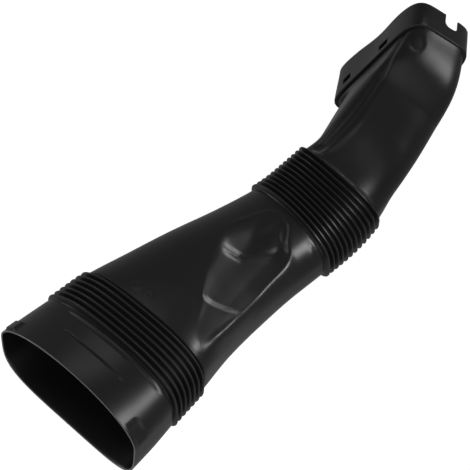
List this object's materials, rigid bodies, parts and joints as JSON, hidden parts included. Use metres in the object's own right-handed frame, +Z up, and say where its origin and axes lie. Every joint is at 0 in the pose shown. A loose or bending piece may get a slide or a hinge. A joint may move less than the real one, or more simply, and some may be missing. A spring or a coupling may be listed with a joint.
{
  "type": "air intake duct",
  "caption": "One-piece moulded air duct: oval sleeve, two bellows, tapered body with a recessed top, and a twisted snorkel that turns into a rectangular frame.",
  "frame": {"origin": "middle of the duct's footprint, on the ground that it lies on", "axes": "+X from the oval mouth towards the frame, along the sleeve's axis; +Z up; +Y to the left when looking along +X"},
  "size_m": [0.5344, 0.1824, 0.141],
  "materials": {
    "duct": "satin black blow-moulded plastic with a fine grain"
  },
  "bodies": {
    "root": {"duct": "duct"}
  },
  "joints": []
}
